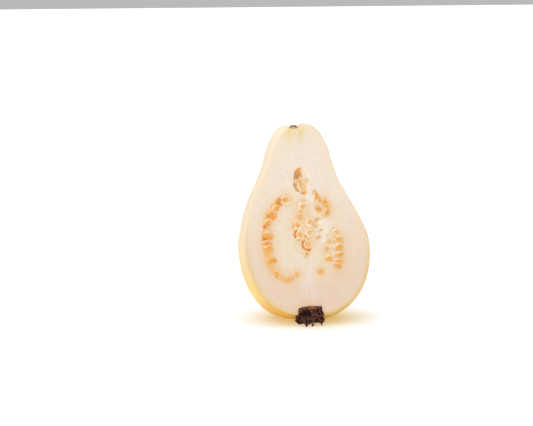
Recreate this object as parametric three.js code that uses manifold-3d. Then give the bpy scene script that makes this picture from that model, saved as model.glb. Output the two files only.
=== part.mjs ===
// One half of a ripe pear-shaped yellow guava, cut lengthwise, with its seeds in their pulp, the
// dried calyx crown at the blossom end and the scar of the stem.
// Millimetres, +Z up. The half stands on the flat spot of its blossom end and leans back a little,
// with the cut face forward, to -Y. The origin is under the middle of its bounding box.
import * as THREE from "three";
import { ParametricGeometry } from "three/addons/geometries/ParametricGeometry.js";
import { mergeVertices } from "three/addons/utils/BufferGeometryUtils.js";
import Module from "manifold-3d";

// Fruit. In its own frame the axis runs up Z from the blossom end, and the knife cut faces -Y.
const BELLY_RADIUS = 32;
const BELLY_HEIGHT = 34;
const BASE_BLUNTNESS = 3.2; // superellipse exponents of the blunt blossom end, across
const BASE_ROUNDNESS = 1.6; // and up
const NECK_OUTLINE = [
  // radius, height
  [32, 34], [31.7, 39], [29.4, 47.5], [25.3, 57.4], [20.4, 67.4], [17.4, 75.2],
  [15.2, 83], [13.3, 87.6], [11.2, 91.4], [8, 94.6], [4.4, 96.2], [0, 96.6],
];
const SIDESTEP = 0.4; // of the axis at the base, to the right
const BOW_DEPTH = 1.7; // the axis bows to the left between belly and neck
const BOW_HEIGHT = 61;
const BOW_REACH = 17;
const RIDGES = 5; // broad ridges that fade out down the neck
const RIDGE_HEIGHT = 0.55;
const RIDGE_TURN = 2.7;
const RIDGE_FADE = [35, 85]; // heights between which the ridges grow up the neck

// The knife cut, and how the half stands.
const CUT_AHEAD = 7; // the cut passes this far ahead of the axis
const LEAN = (17 * Math.PI) / 180;
const STANDING_DEPTH = 2.5; // the surface meets the axis line this far under the blossom pole
const HEEL_FULLNESS = 2.5; // how far the low back bulges out, and as far down, to the surface
const HEEL_HEIGHT = 7.5;
const HEEL_REACH = 7.5;
const HEEL_RADII = [14, 25]; // it grows between these distances from the axis

// Dimple and stem scar at the top, and the dried calyx crown at the blossom end.
const DIMPLE_DEPTH = 2.6;
const DIMPLE_WIDTH = 3.4;
const DIMPLE_REACH = 6.5;
const DIMPLE_AHEAD = 2.5; // of the axis
const DIMPLE_FADE = [80, 92]; // heights between which it sets in
const SCAR_PLACE = new THREE.Vector3(-1.5, -5.4, 93.4);
const SCAR_RADIUS = 2.4;
const SCAR_HEIGHT = 1.5;
const CROWN_PLACE = new THREE.Vector3(-1, -5.4, 3.2);
const CROWN_RADIUS = 6.2;
const TUBE_LENGTH = 6.2;
const TUBE_WALL = 1.5;
const SEPALS = 11;
const SEPAL_SIZE = new THREE.Vector3(2.3, 0.8, 5.2); // half width, half thickness, half length
const SEPAL_FLARE = 0.22;
const SEPAL_ROOT = 0.86; // of the tube's radius
const SEPAL_UNEVEN = 0.16; // share by which one sepal is longer or shorter than the next
const SEPAL_TRIM = -1.6; // the knife trimmed the sepals down to this height at the front
const SEPAL_CLEARANCE = 0.15; // above the surface
const RECESS_RADIUS = 7.7;
const RECESS_HEIGHT = 4.6; // above the blossom pole
const RECESS_LENGTH = 12;

// Seeds. Each stands in a lump of pulp that is sunk in the flesh of the cut face.
const GAP = 0.3; // between the flesh and what is set in it
const SEED_SIZE = new THREE.Vector3(2.1, 1.25, 1.55); // half length, half depth, half width
const SEED_PROUD = 0.35; // from the cut face out to the middle of a seed
const PULP_RADIUS = 2.9;
const PULP_DEPTH = 3.6;
const PULP_STEP = 4.9; // seeds further apart than this have a lump of pulp between them

// Places of the seeds on the cut face: across, up, size, turn in degrees.
const SEED_ROWS = {
  seeds_left_arc: [
    [-9.6, 58.6, 1.15, 60], [-13.5, 55.6, 0.8, 50], [-16.2, 50.6, 1.25, 120], [-19.6, 46, 0.85, 70],
    [-19, 40, 1.25, 120], [-19.9, 34.4, 1.15, 10], [-19.6, 30.6, 0.8, 90], [-19, 27.4, 1.15, 15],
    [-19, 23.6, 0.8, 120], [-16.7, 20.6, 0.9, 140], [-13.8, 18.6, 0.8, 150], [-10.6, 18.2, 1.1, 0],
    [-7.1, 20.8, 0.9, 60],
  ],
  seeds_centre_column: [
    [0.6, 58.6, 0.8, 90], [-1.2, 54.4, 1.1, 10], [-2.2, 49.6, 1.05, 90], [1.9, 46.8, 1, 70],
    [-3.7, 45.2, 1.05, 120], [-3.1, 40.2, 1.2, 80], [1.6, 41.5, 1.05, 100], [0, 35.8, 1.25, 100],
    [-1, 31.2, 0.7, 90],
  ],
  seeds_upper_right: [
    [5.5, 61, 0.7, 110], [6.9, 58.2, 0.85, 60], [10.9, 56, 1.05, 100], [7.3, 53.4, 0.75, 20],
    [11.2, 52, 1.1, 80],
  ],
  seeds_lower_right: [
    [15.1, 41.8, 0.9, 20], [16.2, 38.2, 0.95, 150], [11.6, 37, 0.85, 60], [15.3, 34.2, 1.1, 25],
    [10.3, 33.2, 1, 90], [15.9, 30.4, 1, 160], [10.8, 28.9, 1.1, 100], [15.1, 26, 1.15, 150],
  ],
  seed_lone: [[5.5, 22.6, 1.15, 60]],
};

// The open chamber above the middle seeds, with one broad flat seed leaning in it, and the empty
// sockets that fallen seeds have left: across, up, half length, half width, turn in degrees.
const CHAMBER = { across: -0.7, up: 66.8, halfWidth: 3.7, halfHeight: 6.8, depth: 5.5 };
const FLAT_SEED_SUNK = 1.2; // from the cut face in to its middle
const FLAT_SEED = { across: -0.3, up: 64.4, halfLength: 5.2, halfWidth: 2, halfDepth: 0.9, turn: 121 };
const SOCKET_DEPTH = 1.5;
const SOCKETS = [
  [7.8, 48.1, 2.6, 1.1, 35], [6.3, 43.8, 1.4, 1.2, 0], [9.2, 42.5, 2.3, 0.9, 35],
  [6.6, 38.3, 1.9, 1.3, 20],
];

const { smoothstep, degToRad } = THREE.MathUtils;
const wasm = await Module();
wasm.setup();

// A closed three.js geometry as a solid that can be cut and joined.
function toSolid(geometry) {
  const bare = geometry.clone();
  bare.deleteAttribute("normal");
  bare.deleteAttribute("uv");
  const merged = mergeVertices(bare, 1e-4);
  const corners = Array.from(merged.index.array);
  const triangles = [];
  for (let i = 0; i < corners.length; i += 3) {
    const [a, b, c] = corners.slice(i, i + 3);
    if (a !== b && b !== c && c !== a) triangles.push(a, b, c);
  }
  const mesh = new wasm.Mesh({
    numProp: 3,
    vertProperties: new Float32Array(merged.attributes.position.array),
    triVerts: new Uint32Array(triangles),
  });
  return new wasm.Manifold(mesh);
}

function toGeometry(solid) {
  const mesh = solid.getMesh();
  const geometry = new THREE.BufferGeometry();
  geometry.setAttribute("position", new THREE.BufferAttribute(mesh.vertProperties, 3));
  geometry.setIndex(new THREE.BufferAttribute(mesh.triVerts, 1));
  geometry.computeVertexNormals();
  return geometry;
}

function joinAll(solids) {
  return solids.reduce((whole, piece) => whole.add(piece));
}

const BIG = 300; // a block larger than the fruit, that cuts away all on one side

function bigBox(centre) {
  const geometry = new THREE.BoxGeometry(BIG, BIG, BIG);
  geometry.translate(centre.x, centre.y, centre.z);
  return toSolid(geometry);
}

// An egg-shaped solid, turned on the cut face by the angle given.
function egg(radii, centre, turn = 0, columns = 8, rows = 6) {
  const geometry = new THREE.SphereGeometry(1, columns, rows);
  geometry.scale(radii.x, radii.y, radii.z);
  geometry.rotateY(-turn);
  geometry.translate(centre.x, centre.y, centre.z);
  return toSolid(geometry);
}

function bell(distance, width) {
  return Math.exp(-((distance / width) ** 2));
}

function axisSidestep(height) {
  return SIDESTEP - BOW_DEPTH * bell(height - BOW_HEIGHT, BOW_REACH);
}

// The skin of the whole fruit: a blunt superellipse up to the belly, then the curve of the neck.
const neckCurve = new THREE.SplineCurve(NECK_OUTLINE.map(([r, z]) => new THREE.Vector2(r, z)));
const BASE_SHARE = 0.42; // of the rows of points, from the blossom pole to the belly
const SKIN_COLUMNS = 60;
const SKIN_ROWS = 44;

function skinOutline(along) {
  if (along >= BASE_SHARE) return neckCurve.getPoint((along - BASE_SHARE) / (1 - BASE_SHARE));
  const angle = (along / BASE_SHARE) * (Math.PI / 2);
  return new THREE.Vector2(
    BELLY_RADIUS * Math.sin(angle) ** (2 / BASE_BLUNTNESS),
    BELLY_HEIGHT * (1 - Math.cos(angle) ** (2 / BASE_ROUNDNESS)),
  );
}

function skinPoint(around, along, target) {
  const outline = skinOutline(along);
  const angle = 2 * Math.PI * around;
  const ridgeShare = smoothstep(outline.y, ...RIDGE_FADE) * smoothstep(outline.x, 0, 10);
  const radius = outline.x + RIDGE_HEIGHT * ridgeShare * Math.cos(RIDGES * angle + RIDGE_TURN);
  const back = Math.max(0, Math.sin(angle)) ** 2;
  const corner = bell(outline.y - HEEL_HEIGHT, HEEL_REACH) * smoothstep(outline.x, ...HEEL_RADII);
  const heel = HEEL_FULLNESS * corner * back;
  target.x = radius * Math.cos(angle) + axisSidestep(outline.y);
  target.y = (radius + heel) * Math.sin(angle);
  target.z = outline.y - heel;
  const nearStem = bell(target.x - SCAR_PLACE.x, DIMPLE_WIDTH);
  const dimple = nearStem * bell(target.y + DIMPLE_AHEAD, DIMPLE_REACH);
  target.z -= DIMPLE_DEPTH * smoothstep(outline.y, ...DIMPLE_FADE) * dimple;
}

// Turns a fruit-frame geometry to the leaning stand, with the surface at height zero.
const standing = new THREE.Matrix4()
  .makeTranslation(0, 0, STANDING_DEPTH * Math.cos(LEAN))
  .multiply(new THREE.Matrix4().makeRotationX(-LEAN));

function stand(solid) {
  return toSolid(toGeometry(solid).applyMatrix4(standing));
}

const knife = bigBox(new THREE.Vector3(0, -CUT_AHEAD - BIG / 2, 0));
const surface = bigBox(new THREE.Vector3(0, 0, -BIG / 2));

function onFace(across, up, proud = 0) {
  return new THREE.Vector3(across, -CUT_AHEAD - proud, up);
}

// The pulp round the seeds of one row, with a lump at each seed and one midway to the next.
function pulpLumps(row, swell) {
  const lumps = [];
  row.forEach(([across, up, size], i) => {
    const places = [[across, up]];
    const [lastAcross, lastUp] = i > 0 ? row[i - 1] : [across, up];
    if (Math.hypot(across - lastAcross, up - lastUp) > PULP_STEP) {
      places.push([(across + lastAcross) / 2, (up + lastUp) / 2]);
    }
    const radius = PULP_RADIUS * Math.sqrt(size) + swell;
    const radii = new THREE.Vector3(radius, PULP_DEPTH + swell, radius);
    places.forEach(([x, z]) => lumps.push(egg(radii, onFace(x, z))));
  });
  return joinAll(lumps);
}

function seedEggs(row, swell) {
  return joinAll(row.map(([across, up, size, turn]) => {
    const radii = SEED_SIZE.clone().multiplyScalar(size).addScalar(swell);
    return egg(radii, onFace(across, up, SEED_PROUD), degToRad(turn));
  }));
}

function flatSeed(swell) {
  const { across, up, halfLength, halfWidth, halfDepth, turn } = FLAT_SEED;
  const radii = new THREE.Vector3(halfLength, halfDepth, halfWidth).addScalar(swell);
  return egg(radii, onFace(across, up, -FLAT_SEED_SUNK), degToRad(turn));
}

function seedNode(name) {
  const row = SEED_ROWS[name];
  let bed = pulpLumps(row, 0).subtract(knife).add(seedEggs(row, 0));
  if (name === "seeds_centre_column") bed = bed.add(flatSeed(0));
  return bed;
}

function seedPocket(name) {
  const row = SEED_ROWS[name];
  return pulpLumps(row, GAP).add(seedEggs(row, GAP));
}

// The short tube that the sepals grow from, as an open ring.
function tubeSolid() {
  const section = [
    [CROWN_RADIUS, -TUBE_LENGTH], [CROWN_RADIUS, 0], [CROWN_RADIUS - TUBE_WALL, 0],
    [CROWN_RADIUS - TUBE_WALL, -TUBE_LENGTH], [CROWN_RADIUS, -TUBE_LENGTH],
  ];
  const geometry = new THREE.LatheGeometry(section.map(([r, z]) => new THREE.Vector2(r, z)), 24);
  geometry.rotateX(Math.PI / 2);
  geometry.translate(CROWN_PLACE.x, CROWN_PLACE.y, CROWN_PLACE.z);
  return toSolid(geometry);
}

// The crown: a ring of dried sepals round the receptacle, trimmed where the knife passed.
function crownSolid() {
  const receptacle = egg(new THREE.Vector3(CROWN_RADIUS, CROWN_RADIUS, 1.6), CROWN_PLACE, 0, 14, 6);
  const sepals = [];
  for (let i = 0; i < SEPALS; i += 1) {
    const uneven = SEPAL_UNEVEN * Math.sin(2.4 * i);
    const geometry = new THREE.SphereGeometry(1, 8, 6);
    geometry.scale(SEPAL_SIZE.x, SEPAL_SIZE.y, SEPAL_SIZE.z * (1 + uneven));
    geometry.translate(0, 0, -SEPAL_SIZE.z * 0.75);
    geometry.rotateX(-SEPAL_FLARE * (1 + 3 * uneven));
    geometry.translate(0, -CROWN_RADIUS * SEPAL_ROOT, 0);
    geometry.rotateZ((2 * Math.PI * i) / SEPALS + uneven / 2);
    geometry.translate(CROWN_PLACE.x, CROWN_PLACE.y, CROWN_PLACE.z);
    sepals.push(toSolid(geometry));
  }
  const trim = bigBox(new THREE.Vector3(0, -CUT_AHEAD - BIG / 2, SEPAL_TRIM + BIG / 2));
  const room = recessSolid(-GAP).add(knife.translate([0, -GAP, 0]));
  const whole = joinAll([receptacle, tubeSolid(), ...sepals]).subtract(trim).intersect(room);
  return stand(whole).subtract(surface.translate([0, 0, SEPAL_CLEARANCE]));
}

function recessSolid(swell) {
  const [top, foot] = [RECESS_RADIUS - 0.7 + swell, RECESS_RADIUS + swell];
  const geometry = new THREE.CylinderGeometry(top, foot, RECESS_LENGTH, 28);
  geometry.rotateX(Math.PI / 2);
  geometry.translate(CROWN_PLACE.x, CROWN_PLACE.y, RECESS_HEIGHT + swell - RECESS_LENGTH / 2);
  return toSolid(geometry);
}

function scarSolid(swell) {
  const radii = new THREE.Vector3(SCAR_RADIUS, SCAR_RADIUS, SCAR_HEIGHT).addScalar(swell);
  return egg(radii, SCAR_PLACE, 0, 12, 8);
}

function chamberSolid() {
  const { across, up, halfWidth, halfHeight, depth } = CHAMBER;
  const hollow = egg(new THREE.Vector3(halfWidth, depth, halfHeight), onFace(across, up), 0, 16, 10);
  return hollow.add(flatSeed(GAP));
}

function socketSolids() {
  return SOCKETS.map(([across, up, halfLength, halfWidth, turn]) => {
    const radii = new THREE.Vector3(halfLength, SOCKET_DEPTH, halfWidth);
    return egg(radii, onFace(across, up), degToRad(turn));
  });
}

function fruitSolid() {
  const skin = toSolid(new ParametricGeometry(skinPoint, SKIN_COLUMNS, SKIN_ROWS));
  const pockets = Object.keys(SEED_ROWS).map(seedPocket);
  const hollows = [recessSolid(0), scarSolid(GAP), chamberSolid(), ...socketSolids(), ...pockets];
  const half = skin.subtract(knife).subtract(joinAll(hollows));
  return stand(half).subtract(surface);
}

const FLESH = new THREE.MeshStandardMaterial({ color: 0xf2e3c2, roughness: 0.45 });
const PULP = new THREE.MeshStandardMaterial({ color: 0xe9b268, roughness: 0.35 });
const DRY_CALYX = new THREE.MeshStandardMaterial({ color: 0x3a2420, roughness: 0.9 });
const DRY_STEM = new THREE.MeshStandardMaterial({ color: 0x7a5232, roughness: 0.85 });

function named(name, solid, material) {
  const mesh = new THREE.Mesh(toGeometry(solid), material);
  mesh.name = name;
  return mesh;
}

const guava = new THREE.Group();
guava.add(named("guava_half", fruitSolid(), FLESH));
Object.keys(SEED_ROWS).forEach((name) => guava.add(named(name, stand(seedNode(name)), PULP)));
guava.add(named("calyx_crown", crownSolid(), DRY_CALYX));
guava.add(named("stem_scar", stand(scarSolid(0).subtract(knife)), DRY_STEM));

const bounds = new THREE.Box3().setFromObject(guava);
const middle = bounds.getCenter(new THREE.Vector3());
guava.position.set(-middle.x, -middle.y, -bounds.min.z);

export default guava;
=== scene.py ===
import math
import random

import bpy
import numpy as np
from mathutils import Matrix, Vector, noise
from mathutils.bvhtree import BVHTree


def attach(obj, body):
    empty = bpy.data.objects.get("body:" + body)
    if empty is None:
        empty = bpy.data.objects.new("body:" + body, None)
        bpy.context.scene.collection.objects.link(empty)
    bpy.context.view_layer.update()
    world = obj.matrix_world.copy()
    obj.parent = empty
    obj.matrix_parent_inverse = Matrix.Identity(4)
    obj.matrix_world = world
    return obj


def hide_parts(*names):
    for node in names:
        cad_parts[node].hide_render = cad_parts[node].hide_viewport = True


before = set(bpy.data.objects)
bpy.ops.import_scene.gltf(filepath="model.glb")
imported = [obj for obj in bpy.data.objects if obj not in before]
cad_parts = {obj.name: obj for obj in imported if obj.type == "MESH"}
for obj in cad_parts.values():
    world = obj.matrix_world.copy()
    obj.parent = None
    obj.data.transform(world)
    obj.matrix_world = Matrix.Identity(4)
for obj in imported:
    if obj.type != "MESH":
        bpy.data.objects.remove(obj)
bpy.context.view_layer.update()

# ------------------------------------------------------------------------------------------------
# The fruit. Firm pale flesh under a thin waxy yellow skin, grown as one piece. The whole fruit is
# spun from its outline, five broad ridges are raised on its neck, and then a knife halves it.

MM = 0.001
BELLY_RADIUS = 32.2
BELLY_HEIGHT = 34
BASE_BLUNTNESS = 2.75  # superellipse exponents of the blunt blossom end, across
BASE_ROUNDNESS = 2.0  # and up
NECK_OUTLINE = [  # radius, height
    (32.2, 34), (31.9, 39), (29.4, 47.5), (25.3, 57.4), (20.4, 67.4), (17.4, 75.2),
    (15.2, 83), (13.3, 87.6), (11.2, 91.4), (8, 94.6), (4.4, 96.2), (0, 96.6),
]
BASE_SHARE = 0.42  # of the outline's points, from the blossom pole to the belly
OUTLINE_STEPS = 170
SPIN_STEPS = 240
AXIS_SIDESTEP = 0.4  # of the core at the base, to the right
BOW_DEPTH, BOW_HEIGHT, BOW_REACH = 1.7, 61, 17  # the core bows to the left over the belly
RIDGES, RIDGE_HEIGHT, RIDGE_TURN, RIDGE_FADE = 5, 0.55, 2.7, (35, 85)
HEEL_FULLNESS, HEEL_HEIGHT, HEEL_REACH, HEEL_RADII = 2.5, 7.5, 7.5, (14, 25)
SAG_DEPTH, SAG_ACROSS, SAG_REACH, SAG_HEIGHT = 0.75, 11, 5.5, 6  # the base is fuller to the right
DIMPLE_DEPTH, DIMPLE_WIDTH, DIMPLE_REACH = 3.0, 3.3, 6.5
DIMPLE_ACROSS, DIMPLE_AHEAD, DIMPLE_FADE = -1.2, 2.5, (80, 92)
DIMPLE_STEEPNESS = 6  # the exponent of its sides, across
SCAR_PLACE = Vector((-2.0, -5.4, 93.0))
CROWN_PLACE = Vector((-0.7, -5.4, 3.2))
CUT_AHEAD = 7  # the knife passed this far ahead of the core
LEAN = math.radians(17)
STANDING_DEPTH = 2.5  # the surface meets the core's line this far under the blossom pole
FOOT = Vector((-0.236, -14.0805, STANDING_DEPTH * math.cos(LEAN)))  # puts the box over the origin
STANDING = Matrix.Scale(MM, 4) @ Matrix.Translation(FOOT) @ Matrix.Rotation(-LEAN, 4, "X")


def smoothstep(value, low, high):
    """From 0 at low to 1 at high, with soft ends. High may be under low."""
    share = np.clip((value - low) / (high - low), 0, 1)
    return share * share * (3 - 2 * share)


def bell(distance, width):
    return np.exp(-((distance / width) ** 2))


def neck_point(share):
    """A point of the neck's curve, which passes smoothly through the outline's points."""
    along = share * (len(NECK_OUTLINE) - 1)
    first = min(int(along), len(NECK_OUTLINE) - 2)
    t = along - first
    ends = [NECK_OUTLINE[min(max(first + k, 0), len(NECK_OUTLINE) - 1)] for k in (-1, 0, 1, 2)]
    before, start, end, after = (Vector(point) for point in ends)
    leaving, arriving = (end - before) / 2, (after - start) / 2
    cubic = (2 * start - 2 * end + leaving + arriving) * t**3
    square = (3 * end - 3 * start - 2 * leaving - arriving) * t**2
    return cubic + square + leaving * t + start


def outline_point(share):
    if share >= BASE_SHARE:
        return neck_point((share - BASE_SHARE) / (1 - BASE_SHARE))
    angle = share / BASE_SHARE * math.pi / 2
    across = BELLY_RADIUS * math.sin(angle) ** (2 / BASE_BLUNTNESS)
    return Vector((across, BELLY_HEIGHT * (1 - max(0.0, math.cos(angle)) ** (2 / BASE_ROUNDNESS))))


def points_of(piece):
    """The piece's vertices as an array, one row each."""
    flat = np.zeros(len(piece.data.vertices) * 3)
    piece.data.vertices.foreach_get("co", flat)
    return flat.reshape(-1, 3)


def set_points(piece, points):
    piece.data.vertices.foreach_set("co", points.astype(np.float32).ravel())
    piece.data.update()


def only(piece):
    """Deselects everything and then selects this piece alone."""
    bpy.ops.object.select_all(action="DESELECT")
    piece.select_set(True)
    bpy.context.view_layer.objects.active = piece


def edit(piece):
    """Opens the piece in edit mode with all of it selected."""
    only(piece)
    bpy.ops.object.mode_set(mode="EDIT")
    bpy.ops.mesh.select_all(action="SELECT")


def leave_edit():
    bpy.ops.object.mode_set(mode="OBJECT")


def face_outwards(piece):
    edit(piece)
    bpy.ops.mesh.normals_make_consistent(inside=False)
    leave_edit()


def delete_marked(piece, kind, marks):
    """Deletes the vertices ("VERT") or the faces ("FACE") that are marked."""
    edit(piece)
    bpy.ops.mesh.select_all(action="DESELECT")
    leave_edit()
    parts = piece.data.vertices if kind == "VERT" else piece.data.polygons
    parts.foreach_set("select", [bool(mark) for mark in marks])
    bpy.ops.object.mode_set(mode="EDIT")
    bpy.ops.mesh.select_mode(type=kind)
    bpy.ops.mesh.delete(type=kind)
    bpy.ops.mesh.select_mode(type="VERT")
    leave_edit()


def slice_off(piece, point, outward):
    """Cuts away what lies past a plane, and closes the cut with a face."""
    edit(piece)
    bpy.ops.mesh.bisect(plane_co=point, plane_no=outward, use_fill=True, clear_outer=True)
    leave_edit()


def modify(piece, kind, **settings):
    """Adds a modifier with these settings and applies it."""
    modifier = piece.modifiers.new(kind.title(), kind)
    for name, value in settings.items():
        setattr(modifier, name, value)
    only(piece)
    bpy.ops.object.modifier_apply(modifier=modifier.name)


def copy_of(piece, name):
    twin = piece.copy()
    twin.data = piece.data.copy()
    twin.name = name
    bpy.context.collection.objects.link(twin)
    return twin


def joined(pieces, name):
    only(pieces[0])
    for piece in pieces:
        piece.select_set(True)
    bpy.ops.object.join()
    pieces[0].name = name
    return pieces[0]


def shape_as_fruit(points):
    """Puts a round turned body's points where the living fruit's skin is."""
    x, y, height = points.T
    radius, angle = np.hypot(x, y), np.arctan2(y, x)
    grown = smoothstep(height, *RIDGE_FADE) * smoothstep(radius, 0, 10)
    ridged = radius + RIDGE_HEIGHT * grown * np.cos(RIDGES * angle + RIDGE_TURN)
    back = np.maximum(0, np.sin(angle)) ** 2
    heel = HEEL_FULLNESS * back * bell(height - HEEL_HEIGHT, HEEL_REACH)
    heel *= smoothstep(radius, *HEEL_RADII)
    sidestep = AXIS_SIDESTEP - BOW_DEPTH * bell(height - BOW_HEIGHT, BOW_REACH)
    across = ridged * np.cos(angle) + sidestep
    ahead = (ridged + heel) * np.sin(angle)
    dimple = np.exp(-(((across - DIMPLE_ACROSS) / DIMPLE_WIDTH) ** DIMPLE_STEEPNESS))
    dimple *= bell(ahead + DIMPLE_AHEAD, DIMPLE_REACH)
    sag = SAG_DEPTH * bell(across - SAG_ACROSS, SAG_REACH) * bell(height, SAG_HEIGHT)
    up = height - heel - sag - DIMPLE_DEPTH * smoothstep(height, *DIMPLE_FADE) * dimple
    return np.stack([across, ahead, up], axis=1)


profile = bpy.data.meshes.new("outline")
outline = [outline_point(step / OUTLINE_STEPS) for step in range(OUTLINE_STEPS + 1)]
profile.from_pydata([(p.x, 0, p.y) for p in outline], [(i, i + 1) for i in range(OUTLINE_STEPS)], [])
whole_fruit = bpy.data.objects.new("whole_fruit", profile)
bpy.context.collection.objects.link(whole_fruit)
edit(whole_fruit)
bpy.ops.mesh.spin(steps=SPIN_STEPS, angle=2 * math.pi, center=(0, 0, 0), axis=(0, 0, 1))
bpy.ops.mesh.select_all(action="SELECT")
bpy.ops.mesh.remove_doubles(threshold=0.001)
leave_edit()
set_points(whole_fruit, shape_as_fruit(points_of(whole_fruit)))
face_outwards(whole_fruit)

# Hollows: the teardrop chamber over the middle seeds, the sockets that fallen seeds left, the
# recess round the dried crown, and the seat of the stem scar.
CHAMBER = {"across": -0.3, "up": 66.7, "half_width": 3.4, "half_height": 6.9, "depth": 2.3}
FLAT_SEED = {"across": 0.4, "up": 64.9, "half_length": 4.7, "half_width": 3.6, "turn": 110}
CHAMBER_TAPER = 0.3  # it is wider near its top than at its foot
CHAMBER_BEND = 0.35  # its ends lie this far to the right of its middle
CHAMBER_SKEW = 0.45  # it is deepest to the left, and its right wall slopes gently
CHAMBER_NOOKS = [  # across, up, half length, half width, turn in degrees, depth
    (-3.6, 66.0, 2.4, 1.0, 85, 0.7),
    (-2.9, 63.5, 2.6, 1.5, -62, 1.0), (-3.9, 65.0, 1.0, 0.7, 10, 0.6), (0.7, 60.7, 1.8, 0.9, 18, 0.3),
    (-3.6, 62.7, 0.9, 0.7, 60, 0.6), (-3.8, 68.1, 0.8, 0.5, 80, 0.5),
    (2.7, 66.8, 1.0, 0.7, -10, 0.3), (0.9, 71.9, 1.1, 0.8, -40, 0.8),
]
SOCKETS = [  # across, up, half length, half width, turn in degrees, depth
    (6.6, 47.4, 3.2, 1.5, 25, 0.5), (5.8, 44.2, 1.7, 1.3, 0, 0.4),
    (8.2, 42.3, 2.5, 0.9, 33, 0.3), (6.7, 38.6, 2.6, 1.5, 25, 0.5),
]
RECESS_RADIUS, RECESS_HEIGHT, RECESS_LENGTH = 6.15, 1.9, 10
RECESS_DOME = 2.6  # the height of its domed top
RECESS_FLARE = 1.2  # it is this much more in radius at its foot
SCAR_RADIUS, SCAR_HEIGHT = 2.6, 1.75
SCAR_ROOT_SHRINK = 0.8  # its root is this much flatter than its cap


def egg(radii, centre, turn=0.0, columns=32, rows=20):
    """An egg-shaped primitive, turned on the cut face by an angle in degrees."""
    bpy.ops.object.select_all(action="DESELECT")
    bpy.ops.mesh.primitive_uv_sphere_add(segments=columns, ring_count=rows, location=centre)
    piece = bpy.context.object
    piece.scale = radii
    piece.rotation_euler = (0, -math.radians(turn), 0)
    bpy.ops.object.transform_apply(location=True, rotation=True, scale=True)
    return piece


def squared(piece, centre, radius, half_height):
    """Squares an upright egg's sides, so that its top is flatter and has a round corner."""
    shape = points_of(piece) - np.array(centre)
    x, y, z = shape.T
    out, rise = np.hypot(x, y) / radius, np.abs(z) / half_height
    shape /= ((out**5 + rise**5) ** 0.2)[:, None]
    set_points(piece, shape + np.array(centre))
    return piece


chamber = egg(
    (CHAMBER["half_width"], CHAMBER["depth"], CHAMBER["half_height"]),
    (CHAMBER["across"], -CUT_AHEAD, CHAMBER["up"]),
)
shape = points_of(chamber)
across, ahead, up = shape.T
rise = (up - CHAMBER["up"]) / CHAMBER["half_height"]
across += (across - CHAMBER["across"]) * CHAMBER_TAPER * rise
across -= CHAMBER_SKEW * (ahead + CUT_AHEAD) - CHAMBER_BEND * rise**2
set_points(chamber, shape)
hollows = [chamber]
for across, up, half_length, half_width, turn, depth in CHAMBER_NOOKS + SOCKETS:
    hollows.append(egg((half_length, depth, half_width), (across, -CUT_AHEAD, up), turn))
scar_seat = egg((SCAR_RADIUS, SCAR_RADIUS, SCAR_HEIGHT), SCAR_PLACE)
shape = points_of(scar_seat)
shape[:, 2] += SCAR_ROOT_SHRINK * np.maximum(0, SCAR_PLACE.z - shape[:, 2])
set_points(scar_seat, shape)
hollows.append(scar_seat)
bpy.ops.object.select_all(action="DESELECT")
bpy.ops.mesh.primitive_cone_add(
    vertices=64, radius1=RECESS_RADIUS + RECESS_FLARE, radius2=RECESS_RADIUS, depth=RECESS_LENGTH,
    location=(CROWN_PLACE.x, CROWN_PLACE.y, RECESS_HEIGHT - RECESS_LENGTH / 2),
)
hollows.append(bpy.context.object)
bpy.ops.object.transform_apply(location=True, rotation=True, scale=True)
dome_place = (CROWN_PLACE.x, CROWN_PLACE.y, RECESS_HEIGHT)
dome = egg((RECESS_RADIUS, RECESS_RADIUS, RECESS_DOME), dome_place, columns=64, rows=32)
hollows.append(squared(dome, dome_place, RECESS_RADIUS, RECESS_DOME))
cutters = joined(hollows, "hollows")

flesh = copy_of(whole_fruit, "guava_half_cut")
slice_off(flesh, (0, -CUT_AHEAD, 0), (0, -1, 0))
slice_off(flesh, (0, 0, -STANDING_DEPTH), (0, math.sin(LEAN), -math.cos(LEAN)))
modify(flesh, "BOOLEAN", object=cutters, operation="DIFFERENCE", solver="EXACT", use_self=True)
bpy.data.objects.remove(cutters)
FLESH_GRID = 0.45  # between the points of the finished surface
FLESH_CREASE = math.radians(38)  # edges sharper than this stay sharp
modify(flesh, "REMESH", mode="VOXEL", voxel_size=FLESH_GRID)

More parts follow.
